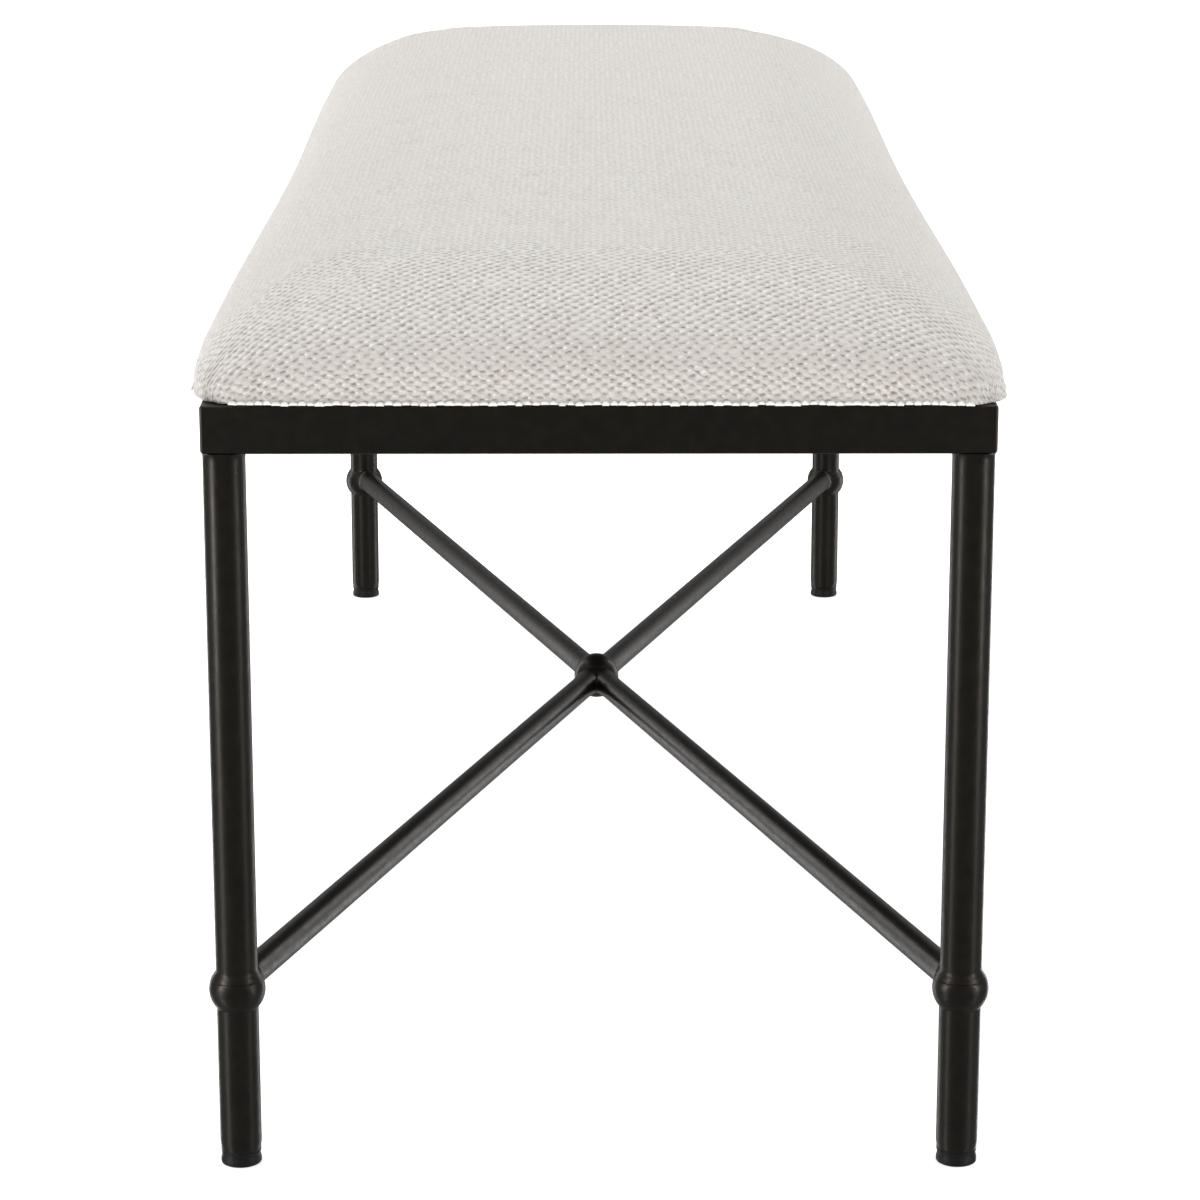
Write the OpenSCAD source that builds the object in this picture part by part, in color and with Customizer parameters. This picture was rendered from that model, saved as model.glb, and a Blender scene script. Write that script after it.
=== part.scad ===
// Entryway bench: an upholstered seat pad on a welded steel frame with four
// round legs and an X stretcher that meets in a ball.
// X runs along the bench, Y across it, and Z up. The origin is on the floor,
// under the middle of the seat.

/* [Frame] */
// Length of the rail frame, outside to outside
frame_len = 1219.2; // [1000:0.1:1500]
// Width of the rail frame, outside to outside
frame_w = 406.4; // [340:0.1:480]
// Height of the rails' underside above the floor
rail_z = 391; // [350:1:450]
// Side of the square tube of the rails
rail = 25.4; // [20:0.1:32]
// Wall of the square tube
rail_wall = 1.6; // [1.2:0.1:2.5]
// Outer corner radius of the square tube
rail_r = 2; // [1:0.1:2.5]

/* [Legs] */
// Diameter of a leg tube
leg_d = 22.2; // [19:0.1:25]
// Wall of a leg tube
leg_wall = 1.6; // [1.2:0.1:2.5]
// Diameter of the balls on the legs and in the middle of the stretcher
ball_d = 30; // [28:0.1:34]
// Height of the leg balls' centres
leg_ball_z = 98.5; // [90:0.5:120]

/* [Stretcher] */
// Diameter of a stretcher rod
rod_d = 15.9; // [12:0.1:18]
// Wall of a stretcher rod
rod_wall = 1.5; // [1:0.1:2.5]
// Height of the rods' axes
rod_z = 100.5; // [90:0.5:122]

/* [Glides] */
// Height of the part of a glide that shows under the leg
glide_h = 7.5; // [5:0.5:12]
// Diameter of a glide at its base
glide_d = 21.8; // [18:0.1:22]
// Height of the ribbed plug inside the leg
glide_plug_h = 18; // [10:1:25]

/* [Seat fixing] */
// Side of a triangular corner plate
plate_side = 70; // [60:1:80]
// Thickness of the corner plates and cross straps
plate_t = 3; // [2:0.5:4]
// Distance of a plate's hole from the rails' inner faces
plate_hole_in = 28; // [24:0.5:30]
// Width of a cross strap
strap_w = 25.4; // [20:0.1:30]
// Diameter of the seat screws
screw_d = 6; // [5:0.5:6]

/* [Seat pad] */
// How far the pad stands over the end rails
pad_end_over = 3.5; // [0:0.1:5]
// How far the pad stands over the long rails
pad_side_over = 6; // [0:0.1:8]
// Height of the crown above the rails
pad_h = 66.6; // [55:0.1:80]
// How far the lip tucks in under the widest line
lip_tuck = 3.5; // [1:0.1:5]
// Height of the widest line above the rails
bulge_h = 11; // [8:0.5:14]
// Radius of the pad's corners in plan
pad_corner_r = 30; // [20:1:45]
// Thickness of the plywood seat board
board_t = 12; // [9:0.5:15]
// Thickness of the woven cover
cover_t = 1.2; // [0.8:0.1:1.6]
// Thickness of the batting between foam and cover
batting_t = 4; // [3:0.5:6]
// Thickness of the dust cover under the board
dust_t = 0.8; // [0.5:0.1:1]

/* [Hidden] */
$fn = 96;

metal = [0.14, 0.13, 0.12];
zinc = [0.72, 0.73, 0.74];
plastic = [0.09, 0.09, 0.09];
plywood = [0.80, 0.66, 0.46];
foam = [0.95, 0.89, 0.66];
wadding = [0.97, 0.97, 0.96];
cloth = [0.90, 0.88, 0.84];
cambric = [0.10, 0.10, 0.11];

over = 1;                             // how far a cutter runs past a face
half_len = frame_len / 2;
half_w = frame_w / 2;
leg_x = half_len - leg_d / 2;
leg_y = half_w - leg_d / 2;
rod_angle = atan2(leg_y, leg_x);
rod_run = norm([leg_x, leg_y]);
rail_top = rail_z + rail;
open_x = half_len - rail;             // inner faces of the rail frame
open_y = half_w - rail;

pad_x = half_len + pad_end_over;
pad_y = half_w + pad_side_over;
crown_z = rail_top + pad_h;
board_z = rail_top + cover_t;
board_top = board_z + board_t;
board_gap = lip_tuck + cover_t + batting_t;
return_w = 21;                        // width of the cover's return that shows in the frame
dust_z = rail_top - dust_t;
dust_gap = 1;                         // between the dust cover and the rails
plate_z = dust_z - plate_t;

washer_t = 1.2;
washer_d = 14;
head_d = 12;
head_h = 3;
hole_clear = 1;                       // how much wider a screw hole is than its screw
tee_d = 8;
tee_flange_d = 18;
tee_flange_t = 1.5;
tee_gap = 1;                          // between the barrel's foot and the board's underside
screw_end = board_top - tee_flange_t;
strap_x = frame_len / 6;
strap_hole_y = open_y * 0.67;
plate_x = open_x - plate_hole_in;
plate_y = open_y - plate_hole_in;
screw_spots = [
    for (x = [-plate_x, plate_x], y = [-plate_y, plate_y]) [x, y],
    for (x = [-strap_x, strap_x], y = [-strap_hole_y, strap_hole_y]) [x, y]
];

staple_w = 10;
staple_wire = 1;
staple_crown = 0.6;
staple_leg = 8;
staple_in = 10;                       // distance of the staples from the rails' inner faces
staple_step_x = strap_x * 0.4;
staple_step_y = open_y / 3;
staple_count_x = 13;
staple_count_y = 4;

// A square with round corners, centred.
module rounded_square(size_x, size_y, r) {
    square([size_x - 2 * r, size_y], center = true);
    square([size_x, size_y - 2 * r], center = true);
    for (x = [-1, 1], y = [-1, 1])
        translate([x * (size_x / 2 - r), y * (size_y / 2 - r)])
            circle(r);
}

// A mitred length of square tube on the X axis, outer face towards -Y.
module mitred_tube(length) {
    intersection() {
        rotate([90, 0, 90])
            linear_extrude(length, center = true)
                difference() {
                    rounded_square(rail, rail, rail_r);
                    rounded_square(rail - 2 * rail_wall, rail - 2 * rail_wall, rail_r / 2);
                }
        translate([0, 0, -rail])
            linear_extrude(2 * rail)
                polygon([
                    [-length / 2, -rail / 2], [length / 2, -rail / 2],
                    [length / 2 - rail, rail / 2], [-length / 2 + rail, rail / 2]
                ]);
    }
}

module long_rail(side) {
    color(metal)
        translate([0, side * (half_w - rail / 2), rail_z + rail / 2])
            rotate([0, 0, side < 0 ? 0 : 180])
                mitred_tube(frame_len);
}

module end_rail(side) {
    color(metal)
        translate([side * (half_len - rail / 2), 0, rail_z + rail / 2])
            rotate([0, 0, side * 90])
                mitred_tube(frame_w);
}

// A leg tube, welded under a corner of the rails.
module leg(sx, sy) {
    color(metal)
        translate([sx * leg_x, sy * leg_y, glide_h])
            difference() {
                cylinder(d = leg_d, h = rail_z - glide_h);
                translate([0, 0, -over])
                    cylinder(d = leg_d - 2 * leg_wall, h = rail_z - glide_h + 2 * over);
            }
}

// A ball, bored for the leg that it is welded on.
module leg_ball(sx, sy) {
    color(metal)
        translate([sx * leg_x, sy * leg_y, leg_ball_z])
            difference() {
                sphere(d = ball_d);
                cylinder(d = leg_d, h = ball_d, center = true);
            }
}

// A moulded glide: a waisted foot with a plug that is pressed into the leg.
module glide(sx, sy) {
    color(plastic)
        translate([sx * leg_x, sy * leg_y, 0])
            rotate_extrude()
                polygon([
                    [0, 0], [glide_d / 2 - 0.8, 0], [glide_d / 2, 0.8],
                    [glide_d / 2, 2.5], [glide_d / 2 - 0.6, 4.5], [glide_d / 2 - 0.6, glide_h],
                    [leg_d / 2 - leg_wall, glide_h],
                    [leg_d / 2 - leg_wall, glide_h + glide_plug_h - 2],
                    [leg_d / 2 - leg_wall - 1.5, glide_h + glide_plug_h],
                    [0, glide_h + glide_plug_h]
                ]);
}

// The solid that a stretcher rod of diameter d fills, from the middle to a leg.
module rod_blank(sx, sy, d) {
    intersection() {
        translate([0, 0, rod_z])
            rotate([0, 90, atan2(sy * leg_y, sx * leg_x)])
                translate([0, 0, -rod_d])
                    cylinder(d = d, h = rod_run + rod_d);
        translate([sx * half_len / 2, sy * half_w / 2, rod_z])
            cube([half_len, half_w, 2 * rod_d], center = true);
    }
}

// A rod, mitred against the other three in the middle and coped on its leg ball.
module rod(sx, sy) {
    color(metal)
        difference() {
            rod_blank(sx, sy, rod_d);
            rod_blank(sx, sy, rod_d - 2 * rod_wall);
            translate([sx * leg_x, sy * leg_y, leg_ball_z])
                sphere(d = ball_d);
            translate([sx * leg_x, sy * leg_y, 0])
                cylinder(d = leg_d, h = rail_z);
        }
}

// The ball that the four rods pass into.
module centre_ball() {
    color(metal)
        difference() {
            translate([0, 0, rod_z])
                sphere(d = ball_d);
            for (angle = [-rod_angle, rod_angle])
                translate([0, 0, rod_z])
                    rotate([0, 90, angle])
                        cylinder(d = rod_d, h = 2 * ball_d, center = true);
        }
}

// A triangular plate, welded in a corner of the rails just under their top.
module plate(sx, sy) {
    color(metal)
        difference() {
            translate([sx * open_x, sy * open_y, plate_z])
                linear_extrude(plate_t)
                    polygon([[0, 0], [-sx * plate_side, 0], [0, -sy * plate_side]]);
            translate([sx * plate_x, sy * plate_y, plate_z - over])
                cylinder(d = screw_d + hole_clear, h = plate_t + 2 * over);
        }
}

// A flat strap between the long rails, with a screw hole near each end.
module cross_strap(sx) {
    color(metal)
        difference() {
            translate([sx * strap_x, 0, plate_z + plate_t / 2])
                cube([strap_w, 2 * open_y, plate_t], center = true);
            for (y = [-strap_hole_y, strap_hole_y])
                translate([sx * strap_x, y, plate_z - over])
                    cylinder(d = screw_d + hole_clear, h = plate_t + 2 * over);
        }
}

// Half of the pad's cross-section, from the middle of the crown to the lip.
function half_section(half, top, roll, shoulder_drop) = let (
    widest_z = rail_top + bulge_h,
    shoulder_z = top - shoulder_drop
) [
    for (t = [0:0.25:0.75]) [(half - roll) * t, top - shoulder_drop * t * t],
    for (a = [90:-15:0]) [
        half - roll * (1 - cos(a)),
        widest_z + (shoulder_z - widest_z) * sin(a)
    ],
    [half - lip_tuck, rail_top]
];

// The whole cross-section: the half and its mirror image.
function section(half, top, roll, shoulder_drop) = let (
    right = half_section(half, top, roll, shoulder_drop),
    last = len(right) - 1
) concat(right, [for (i = [last:-1:1]) [-right[i][0], right[i][1]]]);

// The crowned form of the pad, drawn in by inset and cut off under floor_z.
module pad_form(inset, floor_z) {
    intersection() {
        rotate([90, 0, 0])
            linear_extrude(frame_w * 2, center = true)
                polygon(section(pad_x - inset, crown_z - inset, 110, 8));
        rotate([90, 0, 90])
            linear_extrude(frame_len * 2, center = true)
                polygon(section(pad_y - inset, crown_z - inset, 80, 10));
        translate([0, 0, floor_z])
            linear_extrude(crown_z)
                rounded_square(2 * (pad_x - inset), 2 * (pad_y - inset), pad_corner_r - inset);
    }
}

module board_blank() {
    translate([0, 0, board_z])
        linear_extrude(board_t)
            rounded_square(2 * (pad_x - board_gap), 2 * (pad_y - board_gap), pad_corner_r - board_gap);
}

module staple() {
    translate([-staple_w / 2, -staple_wire / 2, dust_z - staple_crown])
        cube([staple_w, staple_wire, staple_crown]);
    for (x = [-staple_w / 2, staple_w / 2 - staple_wire])
        translate([x, -staple_wire / 2, dust_z - staple_crown])
            cube([staple_wire, staple_wire, staple_crown + staple_leg]);
}

// Staples round the return, through the dust cover and into the board.
module staple_set() {
    for (side = [-1, 1]) {
        for (i = [0:staple_count_x - 1])
            translate([(i - (staple_count_x - 1) / 2) * staple_step_x, side * (open_y - staple_in), 0])
                staple();
        for (i = [0:staple_count_y - 1])
            translate([side * (open_x - staple_in), (i - (staple_count_y - 1) / 2) * staple_step_y, 0])
                rotate([0, 0, 90])
                    staple();
    }
}

// Plywood board, counterbored for the tee nuts.
module seat_board() {
    color(plywood)
        difference() {
            board_blank();
            for (spot = screw_spots)
                translate([spot[0], spot[1], 0]) {
                    translate([0, 0, board_z - over])
                        cylinder(d = tee_d, h = board_t + 2 * over);
                    translate([0, 0, screw_end])
                        cylinder(d = tee_flange_d, h = tee_flange_t + over);
                }
            staple_set();
        }
}

module foam_core() {
    color(foam)
        pad_form(cover_t + batting_t, board_top);
}

// Batting over the foam's top and sides and down past the board's edges.
module batting_wrap() {
    color(wadding)
        difference() {
            pad_form(cover_t, board_z);
            pad_form(cover_t + batting_t, board_top);
            board_blank();
        }
}

// Woven cover, pulled over the pad and returned under the board.
module seat_cover() {
    color(cloth)
        difference() {
            pad_form(0, rail_top);
            pad_form(cover_t, board_z);
            translate([0, 0, rail_top - over])
                linear_extrude(2 * over + cover_t)
                    rounded_square(2 * (open_x - return_w), 2 * (open_y - return_w), over);
            staple_set();
        }
}

module dust_cover() {
    color(cambric)
        difference() {
            translate([0, 0, dust_z + dust_t / 2])
                cube([2 * (open_x - dust_gap), 2 * (open_y - dust_gap), dust_t], center = true);
            for (spot = screw_spots)
                translate([spot[0], spot[1], dust_z - over])
                    cylinder(d = screw_d + hole_clear, h = dust_t + 2 * over);
            staple_set();
        }
}

module cover_staples() {
    color(zinc)
        staple_set();
}

// Pan-head screws, up through the plates and straps into the tee nuts.
module seat_screws() {
    color(zinc)
        for (spot = screw_spots)
            translate([spot[0], spot[1], plate_z - washer_t - head_h]) {
                cylinder(d1 = head_d - 3, d2 = head_d, h = head_h);
                translate([0, 0, head_h])
                    cylinder(d = screw_d, h = screw_end - plate_z + washer_t);
            }
}

module seat_washers() {
    color(zinc)
        for (spot = screw_spots)
            translate([spot[0], spot[1], plate_z - washer_t])
                difference() {
                    cylinder(d = washer_d, h = washer_t);
                    translate([0, 0, -over])
                        cylinder(d = screw_d, h = washer_t + 2 * over);
                }
}

// Tee nuts: a barrel in the board with its flange sunk in the top.
module tee_nuts() {
    color(zinc)
        for (spot = screw_spots)
            translate([spot[0], spot[1], 0])
                difference() {
                    union() {
                        translate([0, 0, board_z + tee_gap])
                            cylinder(d = tee_d, h = board_t - tee_gap);
                        translate([0, 0, screw_end])
                            cylinder(d = tee_flange_d, h = tee_flange_t);
                    }
                    cylinder(d = screw_d, h = screw_end);
                }
}

long_rail(-1);  // front_rail
long_rail(1);  // rear_rail
end_rail(-1);  // left_end_rail
end_rail(1);  // right_end_rail
leg(-1, -1);  // leg_front_left
leg(1, -1);  // leg_front_right
leg(-1, 1);  // leg_rear_left
leg(1, 1);  // leg_rear_right
leg_ball(-1, -1);  // ball_front_left
leg_ball(1, -1);  // ball_front_right
leg_ball(-1, 1);  // ball_rear_left
leg_ball(1, 1);  // ball_rear_right
glide(-1, -1);  // glide_front_left
glide(1, -1);  // glide_front_right
glide(-1, 1);  // glide_rear_left
glide(1, 1);  // glide_rear_right
rod(-1, -1);  // rod_front_left
rod(1, -1);  // rod_front_right
rod(-1, 1);  // rod_rear_left
rod(1, 1);  // rod_rear_right
centre_ball();
plate(-1, -1);  // plate_front_left
plate(1, -1);  // plate_front_right
plate(-1, 1);  // plate_rear_left
plate(1, 1);  // plate_rear_right
cross_strap(-1);  // left_cross_strap
cross_strap(1);  // right_cross_strap
seat_board();
foam_core();
batting_wrap();
seat_cover();
dust_cover();
cover_staples();
seat_screws();
seat_washers();
tee_nuts();
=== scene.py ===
"""Looks for the entryway bench: a painted steel frame, a woven seat pad and a small studio.

Everything is in metres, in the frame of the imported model: X along the bench, Y across it and
Z up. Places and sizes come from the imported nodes, and small details from the fields below.
"""
import logging
import math
from collections.abc import Callable, Iterable, Sequence
from dataclasses import dataclass, field
from enum import Enum

import bpy
import numpy as np
from mathutils import Matrix, Vector


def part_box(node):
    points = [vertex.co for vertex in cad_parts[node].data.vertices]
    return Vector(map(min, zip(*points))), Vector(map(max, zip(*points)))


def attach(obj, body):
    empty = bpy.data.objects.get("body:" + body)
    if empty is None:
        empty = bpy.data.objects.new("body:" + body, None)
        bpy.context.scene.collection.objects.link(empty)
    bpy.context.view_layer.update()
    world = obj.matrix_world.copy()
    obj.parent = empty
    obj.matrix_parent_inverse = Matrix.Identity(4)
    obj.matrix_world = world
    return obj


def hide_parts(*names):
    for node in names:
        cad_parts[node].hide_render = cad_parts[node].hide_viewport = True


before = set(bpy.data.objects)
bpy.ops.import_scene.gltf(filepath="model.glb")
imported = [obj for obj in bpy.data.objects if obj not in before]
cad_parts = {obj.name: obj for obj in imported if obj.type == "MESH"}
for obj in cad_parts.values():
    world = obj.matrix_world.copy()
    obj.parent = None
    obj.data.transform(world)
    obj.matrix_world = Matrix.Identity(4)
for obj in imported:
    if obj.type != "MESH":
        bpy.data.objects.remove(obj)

logging.basicConfig(level=logging.INFO, format="%(message)s")
LOG = logging.getLogger("bench")

MM = 0.001
MERGE_GAP = 0.001 * MM
TINY = 1e-9
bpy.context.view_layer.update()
Ring = tuple[float, float]
Colour = tuple[float, float, float]
Socket = bpy.types.NodeSocket
Value = Socket | float


# ---------------------------------------------------------------- working on meshes


def clear_selection() -> None:
    """Leaves edit mode and deselects every object."""
    if bpy.context.object is not None and bpy.context.object.mode != "OBJECT":
        bpy.ops.object.mode_set(mode="OBJECT")
    bpy.ops.object.select_all(action="DESELECT")


def take_up(piece: bpy.types.Object) -> None:
    """Makes a piece the only selected object and the active one.

    Args:
        piece: the piece.
    """
    clear_selection()
    piece.select_set(True)
    bpy.context.view_layer.objects.active = piece


def settle(piece: bpy.types.Object) -> bpy.types.Object:
    """Puts a piece's place, turn and scale into its mesh.

    Args:
        piece: the piece.

    Returns:
        The same piece.
    """
    take_up(piece)
    bpy.ops.object.transform_apply(location=True, rotation=True, scale=True)
    return piece


def smooth(piece: bpy.types.Object, angle: float = 35.0) -> None:
    """Shades a piece smooth across edges flatter than an angle in degrees."""
    take_up(piece)
    bpy.ops.object.shade_smooth_by_angle(angle=math.radians(angle))


def apply_modifiers(piece: bpy.types.Object) -> None:
    """Applies all of a piece's modifiers, in order.

    Args:
        piece: the piece.
    """
    take_up(piece)
    for name in [modifier.name for modifier in piece.modifiers]:
        bpy.ops.object.modifier_apply(modifier=name)


def read_rows(items: bpy.types.bpy_prop_collection, key: str) -> np.ndarray:
    """Returns a three-part property of a mesh's items as an array of rows.

    Args:
        items: a mesh's vertices, or the items of an attribute.
        key: the property's name.

    Returns:
        An array with a row of three numbers for each item.
    """
    flat = np.zeros(len(items) * 3)
    items.foreach_get(key, flat)
    return flat.reshape(-1, 3)


def points_of(piece: bpy.types.Object) -> np.ndarray:
    """Returns a mesh piece's vertex positions as an array of rows."""
    return read_rows(piece.data.vertices, "co")


def put_points(piece: bpy.types.Object, points: np.ndarray) -> None:
    """Moves a mesh piece's vertices to the rows of an array."""
    piece.data.vertices.foreach_set("co", points.astype(np.float32).ravel())
    piece.data.update()


def deselect_all(piece: bpy.types.Object, kind: str) -> None:
    """Opens a piece in edit mode, to select its VERT, EDGE or FACE items, with none selected.

    Args:
        piece: the piece.
        kind: VERT, EDGE or FACE.
    """
    take_up(piece)
    bpy.ops.object.mode_set(mode="EDIT")
    bpy.ops.mesh.select_mode(type=kind)
    bpy.ops.mesh.select_all(action="DESELECT")


def choose_edges(piece: bpy.types.Object, test: Callable[[Vector, Vector], bool]) -> None:
    """Selects a piece's edges by place and direction.

    Args:
        piece: the mesh piece, which is left in edit mode.
        test: is given an edge's middle and direction, and says whether to select it.
    """
    deselect_all(piece, "EDGE")
    bpy.ops.object.mode_set(mode="OBJECT")
    for edge in piece.data.edges:
        start, end = (piece.data.vertices[i].co for i in edge.vertices)
        edge.select = test((start + end) / 2, (end - start).normalized())
    bpy.ops.object.mode_set(mode="EDIT")


def cut_back(
    piece: bpy.types.Object, point: Sequence[float], outward: Sequence[float], closed: bool = True
) -> None:
    """Cuts off what lies beyond a plane.

    Args:
        piece: the mesh piece.
        point: a point on the plane.
        outward: the plane's normal, towards what is cut off.
        closed: whether the cut is filled with a face.
    """
    take_up(piece)
    bpy.ops.object.mode_set(mode="EDIT")
    bpy.ops.mesh.select_all(action="SELECT")
    bpy.ops.mesh.bisect(plane_co=point, plane_no=outward, use_fill=closed, clear_outer=True)
    bpy.ops.object.mode_set(mode="OBJECT")


def turn_on_axis(name: str, rings: Iterable[Ring], segments: int, closed: bool) -> bpy.types.Object:
    """Makes a turned piece on the Z axis, by extruding and resizing a circle.

    Args:
        name: the new object's name.
        rings: (radius, height) of each ring, with the solid on the left of the way along.
        segments: how many sides a ring has.
        closed: joins the last ring to the first, as on a tube, in place of two caps.

    Returns:
        The new piece, closed, with its faces pointing outwards.
    """
    rings = list(rings)
    radius, height = rings[0]
    clear_selection()
    bpy.ops.mesh.primitive_circle_add(vertices=segments, radius=radius, location=(0, 0, height))
    piece = settle(bpy.context.object)
    piece.name = name
    bpy.ops.object.mode_set(mode="EDIT")
    bpy.ops.mesh.select_all(action="SELECT")
    if not closed:
        bpy.ops.mesh.edge_face_add()
    for next_radius, next_height in rings[1:]:
        move = {"value": (0, 0, next_height - height)}
        if closed:
            bpy.ops.mesh.extrude_edges_move(TRANSFORM_OT_translate=move)
        else:
            bpy.ops.mesh.extrude_region_move(TRANSFORM_OT_translate=move)
        scale = next_radius / radius
        bpy.ops.transform.resize(value=(scale, scale, 1), center_override=(0, 0, next_height))
        radius, height = next_radius, next_height
    if closed:
        bpy.ops.mesh.select_all(action="DESELECT")
        bpy.ops.mesh.select_non_manifold(extend=False)
        bpy.ops.mesh.bridge_edge_loops()
    bpy.ops.mesh.select_all(action="SELECT")
    bpy.ops.mesh.remove_doubles(threshold=MERGE_GAP)
    bpy.ops.mesh.normals_make_consistent(inside=False)
    bpy.ops.object.mode_set(mode="OBJECT")
    return piece


def arc(centre: Ring, radius: float, start: float, end: float, steps: int) -> list[Ring]:
    """Returns points along an arc of a profile.

    Args:
        centre: the arc's centre, as (distance from the axis, height).
        radius: the arc's radius.
        start: where it starts, in degrees from straight out.
        end: where it ends, in degrees.
        steps: how many stretches it is drawn with.
    """
    angles = np.radians(np.linspace(start, end, steps + 1))
    return [(centre[0] + radius * math.cos(a), centre[1] + radius * math.sin(a)) for a in angles]


# ---------------------------------------------------------------- finishes


# The range that nearly all of a noise texture's values lie in.
NOISE_REACH = (0.3, 0.7)


class Board:
    """Lays out the nodes of one material."""

    def __init__(self, name: str) -> None:
        """Starts a material with a Principled shader and nothing else.

        Args:
            name: the material's name.
        """
        self.material = bpy.data.materials.new(name)
        self.material.use_nodes = True
        self.nodes = self.material.node_tree.nodes
        self.nodes.clear()
        self.shader = self.node("ShaderNodeBsdfPrincipled")
        output = self.node("ShaderNodeOutputMaterial")
        self.wire(self.shader.outputs["BSDF"], output.inputs["Surface"])

    def node(self, kind: str, **settings: object) -> bpy.types.Node:
        """Adds a node and sets its properties.

        Args:
            kind: the node's type.
            settings: its properties, by name.

        Returns:
            The new node.
        """
        made = self.nodes.new(kind)
        for key, value in settings.items():
            setattr(made, key, value)
        return made

    def wire(self, value: Value, target: Socket) -> None:
        """Links a socket to an input, or sets the input to a plain value.

        Args:
            value: a socket, a number or a colour.
            target: the input.
        """
        if isinstance(value, bpy.types.NodeSocket):
            self.material.node_tree.links.new(value, target)
        else:
            target.default_value = value

    def math(self, operation: str, *values: Value) -> Socket:
        """Adds a Math node and returns its result.

        Args:
            operation: the sum to do, as the Math node names it.
            values: what goes into it, in order.

        Returns:
            The result's socket.
        """
        made = self.node("ShaderNodeMath", operation=operation)
        for value, target in zip(values, made.inputs):
            self.wire(value, target)
        return made.outputs[0]

    def times(self, first: Value, second: Value) -> Socket:
        """Multiplies two values."""
        return self.math("MULTIPLY", first, second)

    def plus(self, first: Value, second: Value) -> Socket:
        """Adds two values."""
        return self.math("ADD", first, second)

    def remap(self, value: Value, low: float, high: float, to_low: float, to_high: float) -> Socket:
        """Carries a value from one range to another, and keeps it inside.

        Args:
            value: the value.
            low: the low end of its range.
            high: the high end of its range.
            to_low: what the low end becomes.
            to_high: what the high end becomes.

        Returns:
            The new value's socket.
        """
        made = self.node("ShaderNodeMapRange", clamp=True)
        for given, target in zip((value, low, high, to_low, to_high), made.inputs):
            self.wire(given, target)
        return made.outputs[0]

    def place(self) -> Socket:
        """Returns the position on the piece."""
        return self.node("ShaderNodeTexCoord").outputs["Object"]

    def noise(self, where: Socket, scale: float, detail: float = 3.0, rough: float = 0.5) -> Socket:
        """Adds a noise texture and returns its grey value.

        Args:
            where: the place to draw it at.
            scale: how fine it is.
            detail: how many finer layers it has.
            rough: how strong the finer layers are.

        Returns:
            The grey value's socket.
        """
        made = self.node("ShaderNodeTexNoise")
        self.wire(where, made.inputs["Vector"])
        made.inputs["Scale"].default_value = scale
        made.inputs["Detail"].default_value = detail
        made.inputs["Roughness"].default_value = rough
        return made.outputs["Fac"]

    def stretched(self, where: Socket, scale: tuple[float, float, float]) -> Socket:
        """Scales a position along each axis.

        Args:
            where: the position.
            scale: the factor along each axis.

        Returns:
            The scaled position's socket.
        """
        made = self.node("ShaderNodeMapping")
        self.wire(where, made.inputs["Vector"])
        made.inputs["Scale"].default_value = scale
        return made.outputs["Vector"]

    def blend(self, share: Value, low: Socket | Colour, high: Socket | Colour) -> Socket:
        """Mixes two colours and returns the result.

        Args:
            share: the share of the second colour.
            low: the first colour.
            high: the second colour.

        Returns:
            The mixed colour's socket.
        """
        made = self.node("ShaderNodeMix", data_type="RGBA")
        self.wire(share, made.inputs["Factor"])
        for value, target in ((low, made.inputs["A"]), (high, made.inputs["B"])):
            self.wire((*value, 1.0) if isinstance(value, tuple) else value, target)
        return made.outputs["Result"]

    def relief(self, height: Socket, depth: float) -> Socket:
        """Adds a bump of a depth in metres and returns its normal.

        Args:
            height: the relief, from 0 to 1.
            depth: its depth in metres.

        Returns:
            The normal's socket.
        """
        made = self.node("ShaderNodeBump")
        made.inputs["Strength"].default_value = 1.0
        made.inputs["Distance"].default_value = depth
        self.wire(height, made.inputs["Height"])
        return made.outputs["Normal"]

    def dress(self, **values: Value) -> bpy.types.Material:
        """Sets the shader's inputs, with _ for a space in their names, and returns the material.

        Args:
            values: the inputs' values, by name.

        Returns:
            The material.
        """
        for key, value in values.items():
            self.wire(value, self.shader.inputs[key.replace("_", " ")])
        return self.material


@dataclass(frozen=True)
class SatinPaint:
    """Dark bronze-black paint with a satin gloss and faint mottling."""

    name: str = "satin_bronze_paint"
    dark: Colour = (0.0026, 0.0020, 0.0015)
    light: Colour = (0.0066, 0.0050, 0.0036)
    rough_low: float = 0.31
    rough_high: float = 0.41
    mottle_scale: float = 110.0
    grain_scale: float = 260.0
    grain_depth: float = 0.04 * MM
    shine: float = 0.26
    gloss_tint: Colour = (1.0, 0.92, 0.82)

    def material(self) -> bpy.types.Material:
        """Returns the paint as a node material.

        Returns:
            The material.
        """
        board = Board(self.name)
        where = board.place()
        mottle = board.noise(where, self.mottle_scale, 5.0, 0.6)
        grain = board.noise(where, self.grain_scale, 2.0)
        share = board.remap(mottle, *NOISE_REACH, 0.0, 1.0)
        return board.dress(
            Base_Color=board.blend(share, self.dark, self.light),
            Roughness=board.remap(grain, *NOISE_REACH, self.rough_low, self.rough_high),
            Normal=board.relief(grain, self.grain_depth),
            Specular_IOR_Level=self.shine,
            Specular_Tint=(*self.gloss_tint, 1.0),
        )


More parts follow.
